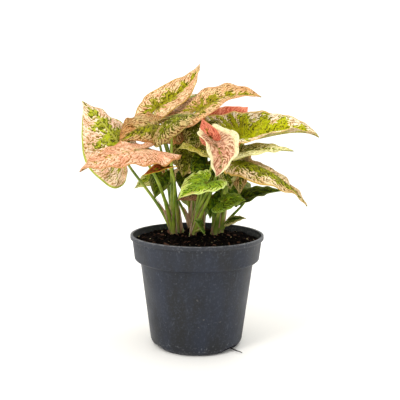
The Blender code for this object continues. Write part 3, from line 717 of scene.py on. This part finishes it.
def blade_grids(leaf, rib, phase):
    """Points of both halves, one after the other, and the shares round and out and the flat place of each."""
    u, t = np.meshgrid(np.linspace(0, 1, AROUND), np.linspace(0, 1, ACROSS), indexing="ij")
    places = []
    maps = []
    for side, sign in enumerate((1, -1)):
        points, flat_x, flat_y = half_blade(leaf, rib, side, phase)
        places.append(points.reshape(-1, 3))
        maps.append(np.stack([u, t, flat_x, sign * flat_y], axis=-1).reshape(-1, 4))
    return np.vstack(places), np.vstack(maps)


def grid_quads():
    """The corners of the faces of both halves, as rows of the grids, round the way that faces up."""
    row, column = np.indices((AROUND - 1, ACROSS - 1))
    a = (row * ACROSS + column).ravel()
    left = np.stack([a, a + ACROSS, a + ACROSS + 1, a + 1], axis=1)
    return np.vstack([left, left[:, ::-1] + AROUND * ACROSS])


def blade_faces(quads, kept, joined):
    """Faces of the upper skin, the underside and the rim, and the grids' row for each of their corners."""
    rings = []
    for quad in quads:
        points = joined[quad].tolist()
        ring = [corner for k, corner in enumerate(quad) if points[k] not in points[:k]]
        if len(ring) > 2:
            rings.append(ring)
    upper = [joined[ring].tolist() for ring in rings]
    under = [[corner + len(kept) for corner in face[::-1]] for face in upper]
    edges = open_edges(upper)
    rim = [(b, a, a + len(kept), b + len(kept)) for a, b in edges]
    rows = rings + [ring[::-1] for ring in rings] + [kept[[b, a, a, b]] for a, b in edges]
    return upper + under + rim, np.concatenate(rows)


def open_edges(faces):
    """Edges of only one face, in that face's direction."""
    edges = dict.fromkeys(edge for face in faces for edge in zip(face, face[1:] + face[:1]))
    return [edge for edge in edges if edge[::-1] not in edges]


def blade_piece(name, leaf, number):
    """A thin closed blade with veins in relief, a keel under the midrib and maps for its colouring."""
    rib = make_midrib(leaf)
    places, maps = blade_grids(leaf, rib, 2.1 * number)

    # Points in one place become one, but each corner of a face keeps its map values
    _, kept, joined = np.unique(np.round(places, 3), axis=0, return_index=True, return_inverse=True)
    joined = joined.ravel()
    points = places[kept]
    values = maps[kept]
    quads = grid_quads()
    relief = blade_relief(leaf, *values.T, number)
    points = points + vertex_normals(points, joined[quads]) * relief[:, None]
    normals = vertex_normals(points, joined[quads])

    # Two skins: the blade thins towards the margin, and its underside bulges along the midrib
    t = values[:, 1]
    thick = HALF_THICKNESS - THINNING * t**3
    share = np.clip(values[:, 2] / rib.length, 0, 1)
    bulge = np.exp(-((t * leaf.width / 2 / KEEL_WIDTH) ** 2)) * min(1.0, leaf.width / 40)
    keel = KEEL * (1 - 0.75 * share) * bulge
    skins = np.vstack([points + normals * thick[:, None], points - normals * (thick + keel)[:, None]])
    faces, rows = blade_faces(quads, kept, joined)
    material = leaf_material("leaf_" + name, leaf, LOOKS[name], number)
    piece = mesh_piece(f"leaf_{name}_blade", skins, faces, material)
    write_map(piece.data, "vein", maps[rows, :2])
    write_map(piece.data, "flat", maps[rows, 2:] / 10)
    write_values(piece.data, "under", np.repeat([0.0, 1.0], len(points)))
    piece.location = np.array(leaf.joint) * MM
    return piece


def write_map(mesh, name, values):
    layer = mesh.uv_layers.new(name=name)
    layer.data.foreach_set("uv", np.ascontiguousarray(values, np.float32).ravel())


def write_values(mesh, name, values):
    mesh.attributes.new(name, "FLOAT", "POINT").data.foreach_set("value", np.array(values, np.float32))


def link(item):
    bpy.context.scene.collection.objects.link(item)
    return item


def own(piece, node):
    """The piece rides on the part's only body and stands for the node."""
    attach(piece, BODY)
    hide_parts(node)


def mesh_piece(name, points, faces, material, smooth=True):
    mesh = bpy.data.meshes.new(name)
    mesh.from_pydata((np.asarray(points) * MM).tolist(), [], faces)
    mesh.materials.append(material)
    if smooth:
        mesh.shade_smooth()
    return link(bpy.data.objects.new(name, mesh))


def stalk_line(leaf, samples):
    """Points along the stalk, from below the soil's top to the blade."""
    rib = make_midrib(leaf)
    angle = np.interp(0, rib.distance, rib.angle)
    tangent = cos(angle) * rib.ahead + sin(angle) * rib.up
    normal = cos(angle) * rib.up - sin(angle) * rib.ahead
    arrive = radians(leaf.arrive)
    last_way = cos(arrive) * normal + sin(arrive) * tangent
    slant = max(arrive, radians(-min(leaf.fold)))
    joint = np.array(leaf.joint, float)
    end = joint - last_way * (leaf.seat + sin(slant)) / cos(slant)
    crown = np.array([*CROWNS[leaf.shoot], STALK_START])
    outward = (joint - crown) * (1, 1, 0)
    start = crown + unit(outward) * STALK_SPREAD
    span = np.linalg.norm(end - start)
    first = start + unit(unit(end - start) + (0, 0, STALK_RISE)) * span * 0.4 + leaf.bow
    second = end - last_way * span * 0.3 + leaf.bow
    t = np.linspace(0, 1, samples)[:, None]
    near = (1 - t) ** 3 * start + 3 * (1 - t) ** 2 * t * first
    line = near + 3 * (1 - t) * t**2 * second + t**3 * end
    root = start + unit(outward) * 0.4 + (0, 0, -9)
    tip = joint - last_way * 0.2
    return smooth_curve(np.vstack([root, line, tip]), samples + 6)


def wall_faces(rings, sides, first=0):
    """Faces between rings of points that follow one another from the first point on."""
    faces = []
    for start in range(first, first + (rings - 1) * sides, sides):
        for k in range(sides):
            a = start + k
            b = start + (k + 1) % sides
            faces.append((a, a + sides, b + sides, b))
    return faces


def sweep(line, outward, turns, sizes):
    """Points and faces of a closed body. Its sections along the line have these bearings and radii, where
    bearing 0 faces away from outward."""
    rings = []
    for centre, tangent, turn, size in zip(line, np.gradient(line, axis=0), turns, sizes):
        side = unit(np.cross(tangent, outward))
        inward = np.cross(unit(tangent), side)
        rings.append(centre + np.outer(size * np.cos(turn), inward) + np.outer(size * np.sin(turn), side))
    sides = len(rings[0])
    last = (len(rings) - 1) * sides
    ends = [tuple(range(sides)), tuple(range(last, last + sides))[::-1]]
    return np.vstack(rings), wall_faces(len(rings), sides) + ends


def tube(line, radii, outward, sides=12, channel=0.2):
    """Points and faces of a closed tube with a shallow channel on the side that faces away from outward."""
    turn = np.linspace(0, 2 * pi, sides, endpoint=False)
    off = (turn + pi) % (2 * pi) - pi
    section = 1 - channel * np.exp(-((off / 0.55) ** 2))
    return sweep(line, outward, [turn] * len(line), np.outer(radii, section))


def sheath(line, radii, outward, reach, twist):
    """Points and faces of the thin pale wings that clasp the foot of a stalk, open on the outer side."""
    count = int(len(line) * reach)
    share = np.arange(count) / (count - 1)
    half = (1.0 + 1.1 * (1 - share) ** 0.5) * (1 - share**4 * 0.9)
    across = np.linspace(-1, 1, SHEATH_STEPS)
    turns = np.outer(half, [*across, *across[::-1]]) + twist
    inner = radii[:count] + SHEATH_GAP + 0.9 * share * (1 - share)
    return sweep(line, outward, turns, inner[:, None] + np.repeat([SHEATH_THICKNESS, 0], SHEATH_STEPS))


def stalk_material():
    """Fresh green with fine lengthwise streaks, paler near the soil."""
    web = Web("stalk_green")
    streak = web.noise(web.stretched(1400, 60), 1.0, 3, 0.6)
    cloud = web.noise(web.place(), 60, 2)
    green = web.blend(web.ease(cloud, 0.35, 0.65), (108, 134, 34), (166, 180, 72))
    green = web.blend(web.ease(streak, 0.5, 0.75, 0, 0.6), green, (190, 194, 108))
    low = web.ease(web.plus(web.height(), web.times(cloud, 0.012)), 0.118, 0.1, 0, 0.5)
    colour = web.blend(low, green, (190, 186, 138))
    web.bump(streak, 0.3, 0.0003)
    rough = web.ease(cloud, 0.3, 0.7, 0.36, 0.5)
    return web.finish(colour, rough, Subsurface_Weight=0.1, Subsurface_Scale=0.002)


def sheath_material():
    """Papery pinkish beige with fine green streaks, brown at the soil."""
    web = Web("stalk_sheath")
    streak = web.noise(web.stretched(1100, 45), 1.0, 3, 0.65)
    colour = web.blend(web.ease(streak, 0.35, 0.65), (196, 158, 128), (224, 200, 172))
    colour = web.blend(web.ease(streak, 0.62, 0.72, 0, 0.6), colour, (150, 152, 84))
    colour = web.blend(web.ease(web.height(), 0.106, 0.097), colour, (134, 96, 70))
    web.bump(streak, 0.5, 0.0005)
    return web.finish(colour, 0.6, Subsurface_Weight=0.1, Subsurface_Scale=0.002)


def merge(parts):
    """One list of points and one of faces from several."""
    points = []
    faces = []
    for part_points, part_faces in parts:
        first = len(points)
        points.extend(part_points)
        faces.extend(tuple(corner + first for corner in face) for face in part_faces)
    return points, faces


def add_shoot(name, green, pale):
    """The crown and stalks of a shoot, and the sheaths round the longer stalks."""
    x, y = CROWNS[name]
    draw = np.random.default_rng(40 + list(CROWNS).index(name))
    core = np.array([(x, y, height) for height in CROWN_HEIGHTS], float)
    tubes = [tube(core, CROWN_RADII, (1, 0, 0), 16, 0)]
    wings = []
    for leaf in (LEAVES | INNER_LEAVES).values():
        if leaf.shoot != name:
            continue
        line = stalk_line(leaf, 30)
        outward = unit((np.array(leaf.joint, float) - (x, y, 0)) * (1, 1, 0) + (0, 0, 0.001))
        share = np.linspace(0, 1, len(line))
        big = 0.82 + 0.18 * min(1.0, leaf.width / 50)
        radii = np.interp(share, STALK_SHARES, STALK_RADII) * big
        tubes.append(tube(line, radii, outward))
        length = np.linalg.norm(np.diff(line, axis=0), axis=1).sum()
        if length > SHEATHED_LENGTH:
            wings.append(sheath(line, radii, outward, draw.uniform(0.3, 0.5), draw.uniform(-0.5, 0.5)))
    node = "shoot_" + name
    own(mesh_piece(node + "_stalks", *merge(tubes), green), node)
    own(mesh_piece(node + "_sheaths", *merge(wings), pale), node)


def turned(name, profile, steps, material, lift=None):
    """A closed solid turned about the Z axis from (radius, height) points that start and end on the axis."""
    turn = np.linspace(0, 2 * pi, steps, endpoint=False)
    rings = [
        np.stack([radius * np.cos(turn), radius * np.sin(turn), np.full(steps, height)], axis=1)
        for radius, height in profile[1:-1]
    ]
    points = np.vstack([(0, 0, profile[0][1]), *rings, (0, 0, profile[-1][1])])
    if lift is not None:
        points[:, 2] += lift(points)
    last = len(points) - 1
    foot = last - steps
    faces = [(0, 1 + k, 1 + (k + 1) % steps) for k in range(steps)]
    faces += wall_faces(len(rings), steps, 1)
    faces += [(foot + k, last, foot + (k + 1) % steps) for k in range(steps)]
    return mesh_piece(name, points, faces, material)


def pot_material():
    """Dark blue-grey moulded plastic with faint flow marks, scuffs, dried splashes, rubbed edges and painted
    light at the lip.
    """
    web = Web("pot_plastic")
    here = web.place()
    height = web.height()
    cloud = web.noise(here, 28, 3, 0.6)
    grain = web.noise(here, 900, 2, 0.6)
    speckle = web.noise(here, 520, 3, 0.7)
    spots = web.noise(here, 260, 2, 0.5)
    rings = web.noise(web.stretched(55, 600), 1.0, 3, 0.6)
    scratch = web.noise(web.stretched(420, 30), 1.0, 4, 0.7, 0.6)
    sheet = web.noise(web.stretched(45, 14), 1.0, 3, 0.6)
    colour = web.blend(web.ease(sheet, 0.3, 0.7), (28, 29, 32), (34, 40, 54))
    colour = web.blend(web.ease(rings, 0.5, 0.8, 0, 0.12), colour, (58, 66, 82))
    colour = web.blend(web.ease(speckle, 0.5, 0.72, 0, 0.4), colour, (72, 80, 96))
    colour = web.blend(web.ease(scratch, 0.58, 0.72, 0, 0.4), colour, (86, 92, 102))
    splash = web.times(web.ease(spots, 0.68, 0.74), web.ease(cloud, 0.48, 0.6, 0, 0.35))
    colour = web.blend(splash, colour, (110, 106, 98))

    # Dust at both ends, a lip made greyer by painted light, and its rubbed top edge, partly a painted
    # highlight
    ends = web.math("MAXIMUM", web.ease(height, 0.091, 0.099), web.ease(height, 0.014, 0.002))
    dust = web.times(web.ease(speckle, 0.56, 0.66, 0, 0.55), ends)
    colour = web.blend(dust, colour, (136, 136, 134))
    # Painted light: the lip is lighter grey than the wall below it
    colour = web.blend(web.ease(height, 0.0962, 0.0975, 0, 0.5), colour, (56, 59, 66))
    # Partly rubbed wear in spots, partly a painted highlight along the whole top edge of the rim
    rubbed_and_highlight = web.times(web.ease(height, 0.0996, 0.1004), web.ease(spots, 0.35, 0.6, 0.3, 0.9))
    colour = web.blend(rubbed_and_highlight, colour, (112, 114, 118))
    web.bump(web.plus(web.times(grain, 0.6), web.times(rings, 0.15)), 0.25, 0.0004)
    rough = web.ease(web.plus(cloud, web.times(scratch, 0.4)), 0.5, 0.9, 0.4, 0.56)
    return web.finish(colour, rough, Specular_IOR_Level=0.5)


def add_pot():
    """The turned shell, with the drainage notches cut out of its bottom corner."""
    pot = turned("pot_body", POT_PROFILE, POT_SIDES, pot_material())
    for bearing in NOTCH_BEARINGS:
        turn = radians(bearing)
        bpy.ops.mesh.primitive_cube_add(size=1)
        cutter = bpy.context.object
        cutter.scale = np.array(NOTCH_SIZE) * MM
        cutter.location = np.array([sin(turn), -cos(turn), 0]) * NOTCH_RADIUS * MM
        cutter.rotation_euler.z = turn
        cut = pot.modifiers.new("Notch", "BOOLEAN")
        cut.object = cutter
        bpy.context.view_layer.objects.active = pot
        bpy.ops.object.modifier_apply(modifier=cut.name)
        bpy.data.objects.remove(cutter)
    pot.data.shade_smooth()
    pot.data.set_sharp_from_angle(angle=radians(42))
    own(pot, "pot")


def smooth_soil(radius):
    return np.interp(radius, *zip(*SOIL_TOP))


def soil_lift(points):
    """How far the soil's top stands off its smooth form; nothing below the top moves."""
    x, y, z = points.T
    rough = sines(x, y, 5, 9, 0.25, 0.9) * 0.9 + sines(x, y, 6, 12, 0.9, 2.4) * 0.45
    return np.where(z > ROUGH_ABOVE, rough * np.clip((57 - np.hypot(x, y)) / 3, 0.3, 1), 0.0)


def soil_material():
    """Near-black peat with brown crumbs."""
    web = Web("soil_peat")
    here = web.place()
    crumbs = web.noise(here, 420, 4, 0.7)
    cloud = web.noise(here, 90, 3, 0.6)
    colour = web.blend(web.ease(crumbs, 0.35, 0.7), (5, 4, 4), (26, 18, 14))
    bits = web.times(web.ease(crumbs, 0.62, 0.72), web.ease(cloud, 0.45, 0.6))
    colour = web.blend(bits, colour, (70, 44, 28))
    web.bump(web.plus(crumbs, web.times(cloud, 1.5)), 1.0, 0.0012)
    return web.finish(colour, 0.95, Specular_IOR_Level=0.1)


def crumb_material(name, dark, light):
    """Bits of one kind, each with its own tone from the map named tone."""
    web = Web(name)
    grain = web.noise(web.place(), 900, 3, 0.65)
    colour = web.blend(web.attribute("tone"), dark, light)
    colour = web.blend(web.ease(grain, 0.55, 0.8, 0, 0.5), colour, dark)
    web.bump(grain, 0.7, 0.0006)
    return web.finish(colour, 0.9, Specular_IOR_Level=0.1)


def scatter(name, count, size, stretch, seed, material):
    """Uneven bits strewn over the soil. size: smallest and largest, stretch: length, width and height."""
    draw = np.random.default_rng(seed)
    shape = bmesh.new()
    bmesh.ops.create_icosphere(shape, subdivisions=2, radius=0.5)
    ball = np.array([vertex.co[:] for vertex in shape.verts])
    faces = [tuple(vertex.index for vertex in face.verts) for face in shape.faces]
    shape.free()
    parts = []
    tones = []
    for _ in range(count):
        radius = STREWN_RADIUS * sqrt(draw.uniform(0, 1))
        bearing = draw.uniform(0, 2 * pi)
        big = size[0] + (size[1] - size[0]) * draw.uniform(0, 1) ** 2.2
        form = ball * (1 + draw.uniform(-0.22, 0.22, (len(ball), 1)))
        form = form * stretch * draw.uniform(0.75, 1.25, 3) * big
        spin = draw.uniform(0, 2 * pi)
        tip = draw.normal(0, 0.35)
        form = form @ np.array(Euler((0, tip, spin)).to_matrix()).T
        ground = np.array([[radius * cos(bearing), radius * sin(bearing), smooth_soil(radius)]])
        ground[0, 2] += soil_lift(ground)[0] + stretch[2] * big * (0.5 - STREWN_SINK)
        parts.append((form + ground, faces))
        tones.extend([draw.uniform(0, 1)] * len(ball))
    piece = mesh_piece(name, *merge(parts), material, smooth=False)
    write_values(piece.data, "tone", tones)
    own(piece, "soil")


def add_soil():
    """The rough bed, and what lies loose on it."""
    top = [(radius, smooth_soil(radius)) for radius in np.linspace(0, SOIL_TOP_EDGE, 66)]
    own(turned("soil_bed", (*top, *SOIL_SIDE), SOIL_SIDES, soil_material(), soil_lift), "soil")
    peat = crumb_material("soil_crumb", (6, 5, 5), (42, 31, 26))
    bark = crumb_material("soil_bark", (34, 24, 21), (108, 80, 66))
    grit = crumb_material("soil_grit", (118, 112, 78), (196, 186, 148))
    scatter("soil_crumbs", 950, (0.7, 3.4), (1.0, 0.85, 0.7), 11, peat)
    scatter("soil_bark_bits", 190, (1.0, 5.4), (1.5, 0.8, 0.4), 12, bark)
    scatter("soil_fibres", 90, (1.6, 5.5), (1.6, 0.16, 0.14), 13, bark)
    scatter("soil_grit_bits", 110, (0.7, 3.0), (1.0, 0.7, 0.5), 14, grit)
    add_root(bark)


def add_root(material):
    bearing = radians(NOTCH_BEARINGS[1] + 3)
    way = np.array([sin(bearing), -cos(bearing), 0])
    line = smooth_curve([way * radius + (0, bend, height) for radius, bend, height in ROOT_ROUTE], 24)
    root = mesh_piece("root_stub", *tube(line, np.linspace(0.75, 0.3, len(line)), (0, 0, 1), 8, 0), material)
    own(root, "soil")


def add_camera():
    camera = bpy.data.cameras.new("camera")
    camera.lens = CAMERA_LENS
    camera.shift_x, camera.shift_y = CAMERA_SHIFT
    item = link(bpy.data.objects.new("camera", camera))
    item.location = (0, -CAMERA_DISTANCE * MM, CAMERA_HEIGHT * MM)
    item.rotation_euler = (radians(90 - CAMERA_PITCH), radians(CAMERA_ROLL), 0)
    bpy.context.scene.camera = item


def add_light(name, place, size, power, colour=(1, 1, 1)):
    lamp = bpy.data.lights.new(name, "AREA")
    lamp.shape = "DISK"
    lamp.size = size
    lamp.energy = power
    lamp.color = colour
    item = link(bpy.data.objects.new(name, lamp))
    item.location = place
    aim = -item.location
    aim.z += LAMP_AIM
    item.rotation_euler = aim.to_track_quat("-Z", "Y").to_euler()


def add_sky():
    """A white world that is a little weaker from above."""
    web = Web("studio", "worlds", "Background")
    up = web.split(web.node("TexCoord").outputs["Generated"])[2]
    strength = web.node("MapRange", SKY | {"Value": up}).outputs["Result"]
    web.put(web.shader.inputs["Color"], (1, 1, 1, 1))
    web.put(web.shader.inputs["Strength"], strength)
    bpy.context.scene.world = web.owner


def add_floor():
    web = Web("floor_paper")
    cloud = web.noise(web.place(), 3.0, 2)
    colour = web.blend(web.ease(cloud, 0.3, 0.7), (252, 250, 244), (255, 254, 250))
    bpy.ops.mesh.primitive_plane_add(size=6)
    floor = bpy.context.object
    floor.name = "floor"
    floor.data.materials.append(web.finish(colour, 0.9, Specular_IOR_Level=0.1))


def main():
    settings = bpy.context.scene.view_settings
    settings.view_transform = "Standard"
    settings.look = "Medium High Contrast"
    add_camera()
    add_sky()
    add_light("key", (-0.8, -0.9, 1.2), 0.5, 7, (1.0, 0.98, 0.95))
    add_light("rim", (0.4, 0.6, 1.5), 0.6, 3)
    add_floor()
    add_pot()
    add_soil()
    green = stalk_material()
    pale = sheath_material()
    for name in CROWNS:
        add_shoot(name, green, pale)
    for number, (name, leaf) in enumerate((LEAVES | INNER_LEAVES).items()):
        node = "leaf_" + name if name in LEAVES else "shoot_" + leaf.shoot
        own(blade_piece(name, leaf, number), node)


main()
